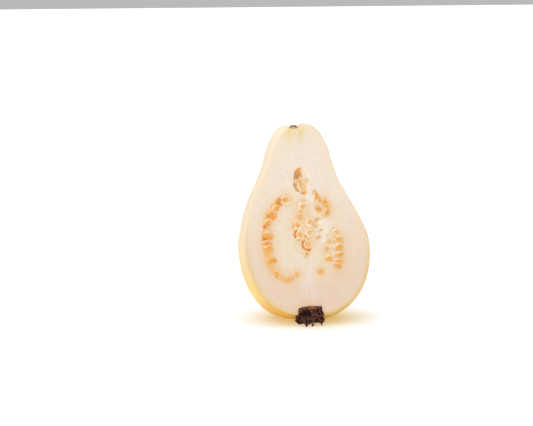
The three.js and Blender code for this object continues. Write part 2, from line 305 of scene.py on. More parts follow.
# Where the seeds lie on the cut face: across, up, half length, half width, turn in degrees, and how
# each one shows. The knife opened the rings, lobes lie whole in the pulp, and veiled ones are under it.
SEED_ROWS = {
    "seeds_left_arc": [
        (-9.0, 57.4, 2.7, 2.5, 0, "ring"), (-14.4, 53.3, 2.9, 1.7, 32, "lobe"),
        (-16.1, 50.4, 3.2, 2.4, -42, "lobe"), (-19.0, 46.5, 2.2, 1.7, 40, "lobe"),
        (-18.8, 40.1, 3.4, 2.4, -25, "lobe"), (-19.7, 36.6, 2.8, 1.4, -3, "lobe"),
        (-19.2, 33.8, 3.0, 1.8, 0, "lobe"), (-18.2, 28.1, 3.2, 1.7, 8, "lobe"),
        (-17.9, 23.7, 1.6, 1.1, -35, "veiled"), (-16.1, 21.9, 1.9, 1.3, -35, "lobe"),
        (-13.5, 19.6, 1.8, 1.2, -25, "veiled"), (-10.2, 18.5, 2.2, 1.9, 10, "veiled"),
        (-6.3, 20.6, 2.2, 1.9, 50, "veiled"),
    ],
    "seeds_centre_column": [
        (-0.3, 56.6, 0.9, 0.8, 90, "veiled"), (-0.8, 53.9, 2.2, 2.0, 10, "ring"),
        (-2.6, 48.8, 2.7, 2.3, 90, "veiled"), (2.1, 45.9, 2.1, 2.0, 70, "ring"),
        (-4.0, 44.7, 2.2, 2.1, 120, "ring"), (-3.4, 40.1, 2.3, 2.1, 80, "ring"),
        (1.8, 40.8, 2.1, 1.9, 50, "ring"), (0.3, 35.1, 2.5, 2.4, 100, "ring"),
        (-0.8, 30.4, 1.3, 0.8, 80, "lobe"),
    ],
    "seeds_upper_right": [
        (6.3, 58.6, 2.5, 1.3, 107, "lobe"), (7.8, 56.4, 1.5, 1.3, 130, "lobe"),
        (7.1, 52.7, 1.8, 1.5, -35, "lobe"), (10.3, 55.7, 1.7, 1.4, 20, "lobe"),
        (11.5, 53.4, 1.8, 1.5, 60, "veiled"), (10.9, 50.7, 1.9, 1.5, 70, "lobe"),
    ],
    "seeds_lower_right": [
        (14.7, 40.6, 2.1, 1.6, 10, "ring"), (16.6, 37.4, 2.1, 1.6, -15, "lobe"),
        (11.5, 36.2, 1.5, 1.3, 0, "veiled"), (15.9, 33.4, 2.6, 1.9, 8, "lobe"),
        (9.9, 32.5, 2.0, 1.8, 20, "veiled"), (16.0, 29.9, 2.6, 1.3, 3, "lobe"),
        (10.5, 28.1, 2.0, 1.7, 0, "lobe"), (15.9, 26.7, 2.5, 1.2, -8, "lobe"),
        (14.5, 24.3, 2.6, 1.3, -22, "lobe"),
    ],
    "seed_lone": [(5.8, 21.7, 2.0, 1.8, 20, "veiled")],
}
PULP_BANDS = {  # how strong its colour is, and each band's stops: across, up, half width
    "seeds_left_arc": [
        (1.0, [
            (-7.9, 57.1, 2.2), (-9.5, 57.6, 2.6), (-12.5, 56.2, 2.1), (-14.9, 53.2, 2.4),
            (-16.7, 50.2, 2.8), (-19.0, 46.5, 2.2), (-20.2, 42.8, 1.4), (-19.4, 39.9, 3.0),
            (-19.7, 36.4, 2.7), (-19.5, 33.4, 2.7), (-19.7, 30.6, 2.0), (-18.7, 27.8, 2.9),
        ]),
        (0.75, [(-18.7, 27.8, 2.7), (-18.5, 25.0, 1.9), (-17.1, 22.6, 2.1), (-14.7, 20.3, 1.9)]),
        (0.65, [(-14.7, 20.3, 1.9), (-11.5, 18.5, 2.1), (-9.7, 18.8, 2.4)]),
        (0.35, [(-9.7, 18.8, 2.3), (-6.3, 20.6, 2.4)]),
    ],
    "seeds_centre_column": [
        (0.5, [(-0.5, 56.9, 1.1), (-0.8, 53.9, 2.6), (-2.2, 49.3, 3.1)]),
        (0.5, [(-2.2, 49.3, 3.1), (-4.0, 44.9, 2.6), (-3.3, 40.3, 2.7)]),
        (0.5, [(-2.2, 49.3, 3.1), (2.0, 45.9, 2.4), (1.7, 40.9, 2.4), (0.2, 35.1, 2.9)]),
        (0.4, [(0.2, 35.1, 2.6), (-0.9, 30.1, 1.3)]),
        (0.5, [(-3.3, 40.3, 2.7), (0.2, 35.1, 2.9)]),
        (0.5, [(-4.0, 44.9, 2.6), (1.7, 40.9, 2.4)]),
    ],
    "seeds_upper_right": [
        (0.95, [(5.6, 61.0, 0.7), (6.5, 58.5, 1.7), (7.6, 56.3, 1.8)]),
        (0.95, [(6.5, 53.3, 1.2), (7.5, 52.3, 1.7)]),
        (0.9, [(10.5, 56.0, 2.2), (11.3, 53.1, 2.6), (10.8, 50.1, 2.2)]),
    ],
    "seeds_lower_right": [
        (0.75, [(14.7, 40.6, 2.0), (16.5, 37.4, 2.2), (15.8, 33.4, 2.8), (16.0, 29.7, 2.7),
                (15.7, 26.6, 2.7), (14.5, 24.2, 2.5)]),
        (0.5, [(11.6, 36.3, 1.7), (11.2, 35.8, 1.7)]),
        (0.45, [(10.0, 32.7, 2.2), (9.7, 32.2, 2.2)]),
        (0.65, [(10.7, 28.3, 2.2), (10.3, 27.9, 2.2)]),
    ],
    "seed_lone": [(0.7, [(5.6, 21.9, 2.1), (6.0, 21.6, 2.1)])],
}
CORE = (-0.5, 38.0)  # the middle of the ring of seeds, across and up
SEED_RING = (*CORE, 20, 25, 0)
PIT_DEPTH = 1.1  # of the flesh under the pulp
DARK_GAPS = [  # across, up, radius, strength: where the pulp has drawn back and shows deep orange
    (-2.1, 62.6, 1.1, 0.95), (-3.0, 64.1, 1.1, 0.7), (-4.1, 64.9, 0.6, 0.45), (0.5, 60.6, 1.1, 0.55),
    (1.5, 61.0, 0.8, 0.35), (2.4, 66.8, 0.9, 0.35), (-2.0, 70.1, 0.9, 0.4), (-13.0, 55.4, 0.8, 0.75),
    (-12.0, 57.5, 1.0, 0.8), (-12.6, 56.2, 1.3, 0.9), (-11.6, 55.2, 0.8, 0.8), (-13.7, 55.8, 0.5, 0.6),
    (-18.2, 49.5, 0.8, 0.75), (-16.5, 52.4, 0.5, 0.45), (-19.5, 45.8, 0.7, 0.4), (-20.5, 44.6, 0.9, 1.0),
    (-21.1, 38.5, 1.0, 1.0), (-20.1, 38.6, 0.7, 0.5), (-20.6, 36.2, 0.5, 0.45), (-16.3, 19.9, 0.5, 0.9),
    (-18.8, 27.7, 1.2, 0.3), (-11.8, 17.8, 0.6, 0.4), (-8.1, 18.8, 0.6, 0.4), (-1.8, 51.7, 0.4, 0.6),
    (6.2, 57.7, 0.5, 0.5), (7.9, 52.1, 0.7, 0.6), (10.1, 56.1, 0.8, 0.4), (10.9, 50.2, 0.9, 0.25),
    (13.6, 36.0, 0.45, 0.7), (11.9, 26.8, 0.5, 0.4), (15.3, 23.8, 0.9, 0.3), (5.9, 21.2, 0.9, 0.3),
    (-0.6, 30.5, 0.5, 0.4), (14.4, 33.1, 0.6, 0.3),
    (-19.2, 36.0, 3.0, 0.16), (-18.4, 28.6, 3.0, 0.16), (-16.2, 50.0, 2.6, 0.14), (-18.8, 44.0, 2.6, 0.14),
]
DARK_ARCS = [  # across, up, radius, from and to in degrees, strength: such gaps round cut seeds
    (-3.4, 40.1, 2.35, 95, 235, 0.9), (-3.4, 40.1, 2.7, 240, 285, 0.6), (1.8, 40.8, 2.75, 185, 245, 0.7),
    (0.3, 35.1, 2.5, 105, 320, 1.0), (0.3, 35.1, 2.6, 55, 105, 0.5), (-4.0, 44.7, 2.15, 130, 230, 0.4),
    (2.1, 45.9, 2.0, 290, 359, 0.3),
]
FIBRES = [  # across, up, half length, half width, turn: pale strands of the core beside the sockets
    (9.2, 45.8, 3.0, 0.9, 28), (9.8, 43.5, 3.0, 0.8, 34), (10.0, 40.8, 3.2, 0.9, 40),
    (9.0, 36.8, 1.6, 0.7, 30), (7.7, 46.0, 1.5, 0.5, 15), (4.6, 57.7, 1.8, 1.2, 80),
    (2.6, 58.7, 1.8, 1.2, 60), (8.6, 54.1, 1.8, 0.4, 105), (9.0, 51.3, 1.4, 0.4, 80),
    (14.1, 34.6, 1.1, 0.3, 40), (13.7, 31.4, 1.6, 0.25, 60), (12.9, 30.0, 1.6, 0.25, 70),
    (14.4, 28.1, 1.4, 0.25, 30), (-12.9, 50.4, 0.5, 0.9, 0),
]


def across_and_up(places, across, up, half_length, half_width, turn):
    """Each point's place along and across an ellipse on the face, where its edge is at 1."""
    c, s = math.cos(math.radians(turn)), math.sin(math.radians(turn))
    x, z = places[:, 0] - across, places[:, 2] - up
    return (x * c + z * s) / half_length, (z * c - x * s) / half_width


def on_ellipse(places, *ellipse):
    """How far each point is from an ellipse's middle on the face, where 1 is on its edge."""
    return np.hypot(*across_and_up(places, *ellipse))


def on_band(places, stops):
    """How far each point is from a band's middle line, in half widths, negative towards the core."""
    nearest = np.full(len(places), 9.0)
    for start, end in zip(stops, stops[1:]):
        span = np.array(end[:2]) - start[:2]
        away = places[:, [0, 2]] - start[:2]
        share = np.clip(away @ span / (span @ span), 0, 1)
        away = away - share[:, None] * span
        reach = np.hypot(away[:, 0], away[:, 1]) / (start[2] + share * (end[2] - start[2]))
        outward = np.sum(away * (np.array(start[:2]) + share[:, None] * span - CORE), axis=1)
        reach = np.where(outward < 0, -reach, reach)
        nearest = np.where(np.abs(reach) < np.abs(nearest), reach, nearest)
    near = np.abs(nearest) < 2
    nearest[near] *= 1 + 0.2 * wave(places[near], 1.4, 40) + 0.12 * wave(places[near], 0.6, 41)
    return nearest


def drawn_back(places):
    """How much each point lies where the pulp has drawn back from the flesh, from 0 to 1."""
    share = np.zeros(len(places))
    torn = 1 + 0.25 * wave(places, 0.8, 12)
    patchy = np.abs(wave(places, 1.5, 30))
    for across, up, radius, strength in DARK_GAPS:
        reach = torn * on_ellipse(places, across, up, radius, radius, 0)
        share = np.maximum(share, strength * bell(reach, 0.9))
    for across, up, radius, start, end, strength in DARK_ARCS:
        away = np.hypot(places[:, 0] - across, places[:, 2] - up) + 1.6 * (torn - 1)
        turn = np.degrees(np.arctan2(places[:, 2] - up, places[:, 0] - across)) % 360
        window = smoothstep(turn, start, start + 30) * smoothstep(turn, end, end - 30)
        share = np.maximum(share, strength * bell(away - radius, 0.36 + 0.6 * patchy) * window)
    return share


def stain_of(places):
    """How orange the pulp has made each point. The left arc ends sharply outwards."""
    stain = np.zeros(len(places))
    patchy = wave(places, 1.8, 6)
    for row_name, bands in PULP_BANDS.items():
        for strength, stops in bands:
            reach = on_band(places, stops) * (1 + 0.12 * patchy)
            tint = smoothstep(np.abs(reach), 1.6, 0.3)
            if row_name == "seeds_left_arc":
                outer, inner = smoothstep(reach, 1.15, 0.9), smoothstep(reach, -1.55, 0.1)
                tint = np.where(reach < 0, inner, outer)
            stain = np.maximum(stain, strength * (0.9 + 0.25 * patchy) * tint)
            stain = np.maximum(stain, 0.28 * smoothstep(np.abs(reach), 2.6, 0.8))
        for seed_place in SEED_ROWS[row_name]:
            reach = on_ellipse(places, *seed_place[:5])
            share = {"lobe": 0.95, "ring": 0.7, "veiled": 0.6}[seed_place[5]]
            stain = np.maximum(stain, share * bell(np.maximum(0, reach - 0.55), 0.38))
    return np.clip(np.maximum(stain, smoothstep(drawn_back(places), 0, 0.35)), 0, 1)


def wave(points, size, shift=0.0):
    """Smooth random waves of about this size, from -1 to 1."""
    offset = Vector((shift, shift * 1.7, -shift))
    return np.array([noise.noise(Vector(p) / size + offset) for p in points])


def store(piece, name, values):
    """Keeps a value at each of the piece's points, for its finish to read."""
    attribute = piece.data.attributes.new(name, "FLOAT", "POINT")
    attribute.data.foreach_set("value", np.full(len(piece.data.vertices), values, dtype=np.float32))


def paint(piece, **amounts):
    """Stores amounts from 0 to 1 under their own names."""
    for name, amount in amounts.items():
        store(piece, name, np.clip(amount, 0, 1))


points = points_of(flesh)
across, ahead, up = points.T
skin_tree = BVHTree.FromObject(whole_fruit, bpy.context.evaluated_depsgraph_get())
under_skin = np.array([skin_tree.find_nearest(Vector(p))[3] for p in points])
bpy.data.objects.remove(whole_fruit)
face = smoothstep(ahead, 0.35 - CUT_AHEAD, 0.1 - CUT_AHEAD)  # 1 on the cut face, 0 behind it

stain = stain_of(points)
deep = drawn_back(points)
pit, off_bands = 0, 1
for _, stops in sum(PULP_BANDS.values(), []):
    reach = on_band(points, stops)
    pit = np.maximum(pit, np.clip(1 - (reach / 0.8) ** 8, 0, 1))
    off_bands = off_bands * smoothstep(np.abs(reach), 1.05, 1.5)
milk = np.max([bell(on_ellipse(points, *fibre), 0.8) for fibre in FIBRES], axis=0)
# painted shade in the empty sockets, strongest at their lower left ends
olive = 0
for *ellipse, depth in SOCKETS:
    along, above = across_and_up(points, *ellipse)
    hollow = bell(np.hypot(along, above), 0.95) * (1 - 0.6 * smoothstep(along, -0.6, 0.9))
    olive = np.maximum(olive, hollow)
milk *= 1 - 0.8 * olive

# The chamber: orange on its left wall and at its foot, the pulp's colour deepened there as painted shade,
# and paler flesh on its right.
CHAMBER_LIP = 1.1  # its walls are looked for this far beyond its own width and height
SHELF = (-3.0, 66.2, 3.0, 2.0, 90)  # across, up, half length, half width, turn
WEDGE = (-2.4, 63.0, 4.2, 2.1, -66)
SKIN_CLEARANCE = 3  # the skin beside the chamber is left alone
half_width, half_height = CHAMBER["half_width"] + CHAMBER_LIP, CHAMBER["half_height"] + CHAMBER_LIP
in_chamber = on_ellipse(points, CHAMBER["across"], CHAMBER["up"], half_width, half_height, 0)
inside = smoothstep(in_chamber, 1.0, 0.93) * smoothstep(ahead, 0.15 - CUT_AHEAD, 0.9 - CUT_AHEAD)
inside *= under_skin > SKIN_CLEARANCE
leftness = smoothstep(CHAMBER["across"] + 0.7 - across, -0.6, 1.2)
low = smoothstep(CHAMBER["up"] - 2 - up, 0, 2)
patchy = 0.5 + 0.5 * wave(points, 1.6, 14)
shelf = bell(on_ellipse(points, *SHELF), 1.0)
# painted shade: deeper orange on the left wall and at the foot
deep = np.maximum(deep, inside * (1 - shelf) * (0.2 + 0.3 * patchy) * np.maximum(leftness, low))
stain = np.maximum(stain, inside * (1 - 0.5 * shelf) * np.maximum(leftness, low))
milk = np.maximum(milk, 0.12 * inside * (1 - leftness) * (1 - low))

# The flat seed lies in the chamber's lower wall, level with it on the right and at its foot. On its
# left the wall comes forward in a wedge, and above that in a shelf.
along, beside = across_and_up(points, **FLAT_SEED)
wall = 0.3 + 0.5 * (1 - beside) + 6 * smoothstep(beside, -0.5, 0.2) + 6 * smoothstep(np.abs(along), 1.1, 1.3)
wedge = bell(on_ellipse(points, *WEDGE), 1.0)
wall = np.minimum(wall, np.minimum(0.35 + 3 * (1 - wedge), 0.5 + 3 * (1 - shelf)))
ahead[:] = np.where(inside > 0.1, np.minimum(ahead, wall - CUT_AHEAD), ahead)

# The cut face: a little wavy, rougher within the ring of seeds, sunk a little by the skin and deep
# under the pulp, and raised along the fibres.
in_ring = bell(on_ellipse(points, *SEED_RING), 0.9)
relief = 0.10 * wave(points, 4.5) + 0.05 * wave(points, 1.3, 3) + 0.06 * in_ring * wave(points, 0.7, 9)
relief = relief * off_bands - 0.30 * milk * (1 - inside)
relief += 0.06 * bell(under_skin, 0.4) + PIT_DEPTH * pit
ahead += face * relief
set_points(flesh, points)
only(flesh)
bpy.ops.object.shade_smooth_by_angle(angle=FLESH_CREASE)
store(flesh, "under_skin", under_skin)
paint(flesh, stain=stain, deep=deep, milk=milk, olive=olive)


def srgb(red, green, blue):
    """A colour in 0 to 255, as the shader's linear values."""
    linear = [c / 3294.6 if c <= 10.3 else ((c / 255 + 0.055) / 1.055) ** 2.4 for c in (red, green, blue)]
    return (*linear, 1.0)


def put(value, socket):
    """Links another node's output to an input, or sets the input to a plain value."""
    if isinstance(value, bpy.types.NodeSocket):
        socket.id_data.links.new(value, socket)
    else:
        socket.default_value = value


def feed(node, **inputs):
    """Puts a value into each of the node's inputs that is named."""
    for name, value in inputs.items():
        put(value, node.inputs[name.replace("_", " ")])


def add(tree, kind, settings=None, **inputs):
    """Adds a shader node, makes its settings and feeds its inputs."""
    new = tree.nodes.new("ShaderNode" + kind)
    for name, value in (settings or {}).items():
        setattr(new, name, value)
    feed(new, **inputs)
    return new


def mixed(share, first, second):
    """The first colour, going over to the second one by a share, which is a node's output."""
    new = add(share.id_data, "Mix", {"data_type": "RGBA"})
    for index, value in ((0, share), (6, first), (7, second)):
        put(value, new.inputs[index])
    return new.outputs[2]


def layered(colour, *layers):
    """A colour with others laid over it in turn. Each layer is a share and a colour."""
    for share, over in layers:
        colour = mixed(share, colour, over)
    return colour


def between(value, low, high, start=0.0, end=1.0):
    """A number that goes smoothly from start to end as the value goes from low to high."""
    inputs = {"Value": value, "From_Min": low, "From_Max": high, "To_Min": start, "To_Max": end}
    return add(value.id_data, "MapRange", {"interpolation_type": "SMOOTHSTEP"}, **inputs).outputs["Result"]


def maths(operation, first, second):
    """A number worked out from two, of which one at least is a node's output."""
    known = first if isinstance(first, bpy.types.NodeSocket) else second
    new = add(known.id_data, "Math", {"operation": operation})
    put(first, new.inputs[0])
    put(second, new.inputs[1])
    return new.outputs[0]


def product(total, *factors):
    """All of them multiplied. The first is a node's output."""
    for factor in factors:
        total = maths("MULTIPLY", total, factor)
    return total


def from_point(place, point, operation="DISTANCE"):
    """How far each place is from a fixed point, or, with SUBTRACT, the way there from the point."""
    new = add(place.id_data, "VectorMath", {"operation": operation})
    put(place, new.inputs[0])
    put(point, new.inputs[1])
    return new.outputs["Value" if operation == "DISTANCE" else "Vector"]


def spread(place):
    """The place's three numbers: across, ahead and up."""
    return add(place.id_data, "SeparateXYZ", Vector=place).outputs[:]


def stored(tree, name):
    return add(tree, "Attribute", {"attribute_name": name}).outputs["Fac"]


def in_fruit(tree):
    """Places in the fruit's own frame, in millimetres, from the standing piece's coordinates."""
    standing = add(tree, "TexCoord").outputs["Object"]
    back = {"Location": STANDING.inverted().translation, "Rotation": (LEAN, 0, 0), "Scale": (1 / MM,) * 3}
    return add(tree, "Mapping", Vector=standing, **back).outputs["Vector"]


def cells(place, size, detail=2.0, stretch=None):
    """Random soft speckle of about this size in millimetres, from 0 to 1."""
    tree = place.id_data
    if stretch:
        place = add(tree, "Mapping", Scale=stretch, Vector=place).outputs["Vector"]
    return add(tree, "TexNoise", Vector=place, Scale=1 / size, Detail=detail, Roughness=0.55).outputs["Fac"]


def bumped(height, strength, distance):
    """Normals for a relief that stands this far out, in metres."""
    return add(height.id_data, "Bump", Height=height, Strength=strength, Distance=distance).outputs["Normal"]


def finish_of(name):
    """A new material's node tree, the material and its shader."""
    material = bpy.data.materials.new(name)
    material.use_nodes = True
    return material.node_tree, material, material.node_tree.nodes["Principled BSDF"]


def group_of(name, inputs, outputs):
    """A new group of nodes, its inputs and its outputs, which are given by name and kind."""
    group = bpy.data.node_groups.new(name, "ShaderNodeTree")
    for way, sockets in (("INPUT", inputs), ("OUTPUT", outputs)):
        for socket_name, kind in sockets.items():
            group.interface.new_socket(socket_name, in_out=way, socket_type="NodeSocket" + kind)
    return group, group.nodes.new("NodeGroupInput").outputs, group.nodes.new("NodeGroupOutput").inputs


# Grain: the fine mottling of plant cells, in every moist part of the fruit.
grain_group, ins, outs = group_of(
    "plant_cells", {"Place": "Vector", "Size": "Float"}, {"Mottle": "Float", "Height": "Float"}
)
rate = maths("DIVIDE", 1.0, ins["Size"])
coarse = add(grain_group, "TexNoise", Vector=ins["Place"], Scale=rate, Detail=3.0, Roughness=0.6)
fine = add(grain_group, "TexVoronoi", Vector=ins["Place"], Scale=rate)
put(between(coarse.outputs["Fac"], 0.36, 0.64), outs["Mottle"])
put(maths("ADD", coarse.outputs["Fac"], fine.outputs["Distance"]), outs["Height"])


def grained(place, size):
    """The mottling at a place, and how high it stands."""
    grain = add(place.id_data, "Group", {"node_tree": grain_group}, Place=place, Size=size)
    return grain.outputs["Mottle"], grain.outputs["Height"]


# Flesh: pinkish white by the neck, warmer low down and darker there as painted shade, creamier within
# the ring of seeds, where faint rays run out from the core, and with violet white veins above the crown.
RING_SQUEEZE = 1.25  # the ring of seeds is taller than it is wide by this share
flesh_group, ins, outs = group_of("moist_flesh", {"Place": "Vector"}, {"Colour": "Color"})
place = ins["Place"]
across, _, up = spread(place)
speckle = between(cells(place, 0.6, 1.0), 0.4, 0.6)
mottle = maths("ADD", product(grained(place, 1.3)[0], 0.6), product(speckle, 0.4))
# painted shade: the low flesh is darker as well as warmer
low_flesh = mixed(mottle, srgb(237, 216, 202), srgb(235, 209, 180))
high_flesh = mixed(mottle, srgb(249, 236, 231), srgb(245, 228, 200))
ring_flesh = mixed(mottle, srgb(246, 234, 224), srgb(241, 223, 192))
squeezed = add(flesh_group, "Mapping", Scale=(RING_SQUEEZE, 0, 1.0), Vector=place).outputs["Vector"]
from_core = from_point(squeezed, (CORE[0] * RING_SQUEEZE, 0, CORE[1]))
in_ring = between(from_core, 26, 17)
way_out = spread(from_point(place, (CORE[0], 0, CORE[1]), "SUBTRACT"))
turn = maths("ARCTAN2", way_out[2], way_out[0])
ray_place = add(flesh_group, "CombineXYZ", X=turn, Y=product(from_core, 0.02)).outputs["Vector"]
rays = add(flesh_group, "TexNoise", Vector=ray_place, Scale=14.0, Detail=3.0).outputs["Fac"]
neck_streaks = between(cells(place, 3.0, 2.0, (1.0, 0.3, 0.18)), 0.42, 0.6)
veins = between(cells(place, 1.0, 2.0, (0.9, 0.3, 0.08)), 0.42, 0.62, 0.1, 0.6)
over_crown = product(between(up, 32, 22), between(across, -7, -2), between(across, 5, 1))
flesh_colour = layered(
    mixed(between(up, 8, 75), low_flesh, high_flesh),
    (product(in_ring, 0.75), ring_flesh),
    (product(in_ring, between(rays, 0.5, 0.72, 0, 0.5)), srgb(242, 218, 176)),
    (product(between(up, 55, 80), neck_streaks, 0.45), srgb(241, 228, 222)),
    (product(over_crown, veins), srgb(240, 229, 226)),
    (between(cells(place, 5.0), 0.52, 0.72, 0, 0.3), srgb(242, 218, 186)),
)
put(flesh_colour, outs["Colour"])


def moist_flesh(place):
    return add(place.id_data, "Group", {"node_tree": flesh_group}, Place=place).outputs["Colour"]


PULP_COLOUR, DEEP_COLOUR = srgb(242, 191, 106), srgb(222, 122, 8)
SKIN_THICKNESS = (0.15, 0.5)  # the depths between which skin gives way to flesh

tree, fruit_finish, shader = finish_of("guava_flesh_and_skin")
place = in_fruit(tree)
across, ahead, up = spread(place)
depth = stored(tree, "under_skin")
grain_height = grained(place, 0.55)[1]
broad = cells(place, 5.0)
from_stem = from_point(place, SCAR_PLACE)
from_crown = from_point(place, (CROWN_PLACE.x, -CUT_AHEAD, 1.0))

# flesh: creamy under the skin, with painted shade in a line just below it on the left, yellow by the
# stem and down both sides of the dimple, golden beside the dried crown, and yellow in the thin rim at the
# foot
rim_cream = mixed(between(up, 20, 60), srgb(234, 205, 146), srgb(249, 231, 205))
stem_streaks = between(cells(place, 2.2, 2.0, (1.0, 1.0, 0.3)), 0.35, 0.65, 0.2, 0.65)
off_stem = maths("ABSOLUTE", maths("SUBTRACT", across, SCAR_PLACE.x), 0.0)
dimple_sides = product(between(off_stem, 1.2, 3.0), between(off_stem, 5.4, 3.4), between(up, 80, 93, 0, 0.4))
low_rim = product(between(depth, 1.5, 0.7), between(up, 7, 2.5, 0, 0.8), between(across, 3, 7))
inside_colour = layered(
    moist_flesh(place),
    (between(depth, 3.2, 0.4, 0, 0.8), rim_cream),
    # painted shade: darkens the lit cut edge on the left side
    (product(between(depth, 1.0, 0.2, 0, 0.5), between(across, 4, -10)), srgb(231, 205, 168)),
    (product(between(from_stem, 10, 1.5), stem_streaks), srgb(244, 220, 142)),
    (dimple_sides, srgb(240, 212, 132)),
    (between(from_crown, 9.2, 6.0, 0, 0.3), srgb(228, 184, 112)),
    (low_rim, srgb(216, 184, 84)),
)

# what the pulp left on it: its stain, the white fibres and the deep orange gaps, and painted shade in the
# empty sockets
inside_colour = layered(
    inside_colour,
    (stored(tree, "stain"), PULP_COLOUR),
    (between(stored(tree, "olive"), 0.2, 0.9), srgb(234, 190, 118)),
    (product(stored(tree, "milk"), 0.8), srgb(252, 243, 230)),
    (stored(tree, "deep"), DEEP_COLOUR),
)

# skin: yellow with freckles and pores, oranger at the blossom end, green by the stem, and painted
# light towards the knife's edge high up, where strong light washes it out pale
foot_yellow = mixed(between(across, 0, 14), srgb(226, 170, 42), srgb(206, 166, 64))
pale_yellow = mixed(between(up, 10, 50), srgb(240, 208, 142), srgb(246, 229, 206))
pores = add(tree, "TexVoronoi", Vector=place, Scale=0.42)
pore = between(pores.outputs["Distance"], 0.13, 0.05)
skin = layered(
    mixed(between(broad, 0.3, 0.7), srgb(234, 200, 104), srgb(240, 212, 124)),
    (between(cells(place, 0.45), 0.52, 0.7, 0, 0.45), srgb(222, 172, 72)),
    (between(up, 13, 2), foot_yellow),
    # painted light: the skin washed out pale near the knife's edge, more so higher up
    (product(between(ahead, 10, -4), between(up, 4, 34, 0.1, 0.95)), pale_yellow),
    (between(from_stem, 4.2, 2.6), srgb(206, 190, 84)),
    (product(pore, 0.35), srgb(196, 150, 72)),
)
within = between(depth, *SKIN_THICKNESS)
skin_height = maths("SUBTRACT", product(broad, 1.2), product(pore, 0.5))
height = add(tree, "Mix", Factor=within, A=skin_height, B=grain_height).outputs["Result"]
feed(
    shader, Base_Color=mixed(within, skin, inside_colour), Roughness=between(depth, 0.1, 0.5, 0.42, 0.36),
    Normal=bumped(height, 0.35, 0.0001), Coat_Weight=0.12, Coat_Roughness=0.3,
    Subsurface_Weight=0.15, Subsurface_Radius=(1.0, 0.7, 0.45), Subsurface_Scale=0.0008,
)
flesh.data.materials.append(fruit_finish)
flesh.data.transform(STANDING)
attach(flesh, "root")
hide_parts("guava_half")

# ------------------------------------------------------------------------------------------------
# The seeds, in five groups. Each group is a bed of translucent orange pulp, set in a pit of the
# flesh, with hard pale seeds in it: some cut through, which show their coat as a pale ring.

PULP_GRID = 0.24  # between the points of its surface
PULP_BACK = 1.9  # how thick it is
PULP_PROUD = 0.05  # of the cut face, up to its rim
PULP_REACH = 1.14  # of each band's half width, where its sheet ends

tree, pulp_finish, shader = finish_of("guava_seeds_and_pulp")
place = in_fruit(tree)
mottle, grain_height = grained(place, 0.9)
stained = stored(tree, "stain")
body = layered(
    moist_flesh(place),
    (stained, PULP_COLOUR),
    (product(mottle, product(stained, 0.3)), srgb(250, 216, 160)),
    # darker orange, partly the seeds' own tone and partly painted shade on the lobes' lower edges; then the
    # cut seeds' pale coat and painted highlights on the lobes' upper edges
    (stored(tree, "shade"), srgb(235, 158, 56)),
    (stored(tree, "coat"), srgb(255, 237, 216)),
    (stored(tree, "deep"), DEEP_COLOUR),
)
feed(
    shader, Base_Color=body, Roughness=between(mottle, 0, 1, 0.22, 0.38),
    Normal=bumped(grain_height, 0.4, 0.00012), Specular_IOR_Level=0.3, Coat_Weight=0.08, Coat_Roughness=0.15,
    Subsurface_Weight=0.3, Subsurface_Radius=(1.0, 0.65, 0.35), Subsurface_Scale=0.0008,
)


def seeds_in(places, row):
    """How far the seeds of a row stand out of their pulp, and where they are pale or darker: the cut rings'
    pale coat and darker middles, and on the lobes a painted highlight along the raised upper edge and
    painted shade along the lower edge.
    """
    height, coat, shade = np.zeros((3, len(places)))
    lumps, fine = wave(places, 1.3, 3), wave(places, 0.55, 6)
    for across, up, half_length, half_width, turn, kind in row:
        along, above = across_and_up(places, across, up, half_length, half_width, turn)
        reach = np.hypot(along, above) * (1 + 0.26 * lumps + 0.12 * fine)
        dome = np.clip(1 - reach**2, 0, 1)
        off_centre = np.hypot(along - 0.2 * math.sin(7 * up), above + 0.2 * math.cos(9 * across))
        if kind == "ring":
            rise = 0.22 * np.sqrt(dome) + 0.16 * bell(reach - 0.78, 0.16) + 0.12 * bell(reach, 0.4)
            pale = (0.8 + 1.3 * lumps + fine) * bell(reach - 0.84, 0.19)
            pale *= 1 + 0.4 * np.clip(above - along, -1, 1)
            dull = (0.65 + 1.2 * lumps) * bell(off_centre, 0.5)
            dull += 0.3 * bell(reach - 0.6, 0.14) * (0.5 + fine)
        elif kind == "lobe":
            rise = 0.55 * dome**0.8 * (1 + 0.5 * above)
            # painted highlight along the lobe's raised upper edge
            pale = (0.6 + 0.8 * lumps + 0.8 * fine) * bell(reach - 0.8, 0.26) * smoothstep(above, -0.1, 0.5)
            dull = (0.75 + 0.6 * lumps) * bell(off_centre, 0.6)
            # painted shade along its lower edge, over the darker middle of its own tone
            dull += 0.5 * bell(reach - 0.85, 0.25) * smoothstep(above, -0.1, -0.8)
        else:
            rise = 0.1 * dome
            pale = 0.6 * fine * bell(reach - 0.9, 0.2)
            dull = 0.5 * bell(reach, 0.6)
        ahead = rise > height
        height = np.where(ahead, rise, height)
        coat = np.where(ahead, pale, coat)
        shade = np.where(ahead, dull, shade)
    return height, coat, shade + 0.15 * fine


def nearest_band(places, bands):
    """How far each point is from the nearest of the bands, in half widths."""
    return np.min([np.abs(on_band(places, stops)) for _, stops in bands], axis=0)


